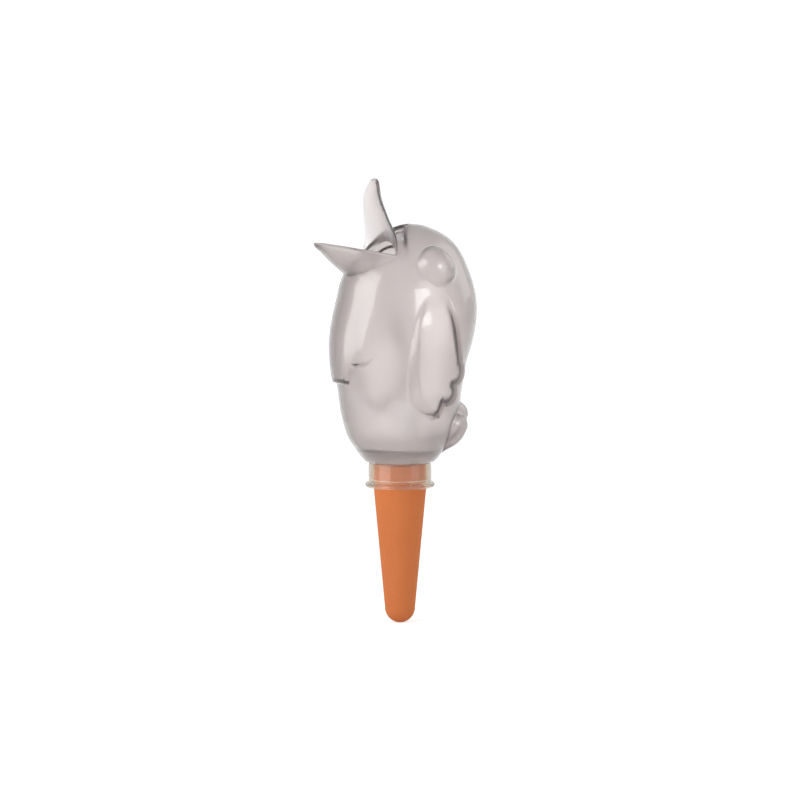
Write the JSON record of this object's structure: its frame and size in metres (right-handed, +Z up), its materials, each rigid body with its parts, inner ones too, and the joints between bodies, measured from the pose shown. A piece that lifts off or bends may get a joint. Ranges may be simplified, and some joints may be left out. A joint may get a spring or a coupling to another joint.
{
  "type": "self watering spike",
  "caption": "Clear bird shaped water bottle with an open beak that stands on a hollow terracotta cone and waters a potted plant through the clay",
  "frame": {"origin": "axis of the cone at the level of the soil, in the plane of the underside of the collar's flange", "axes": "+Z up out of the soil along the cone's axis, the bird faces -Y, its left side is +X"},
  "size_m": [0.0724, 0.0958, 0.2405],
  "materials": {
    "clear_plastic": "clear, faintly smoky, polished",
    "soft_seal": "soft, satin",
    "milky_plastic": "translucent, satin",
    "terracotta": "unglazed, matt, finely porous"
  },
  "bodies": {
    "spike": {"clay_cone": "terracotta", "collar": "milky_plastic"},
    "reservoir": {"left_shell": "clear_plastic", "right_shell": "clear_plastic", "neck_insert": "clear_plastic", "seal_ring": "soft_seal"}
  },
  "joints": [
    {"name": "reservoir_lift", "type": "slide", "parent": "spike", "child": "reservoir", "axis": [0, 0, 1], "range_m": [0, 0.03]}
  ]
}
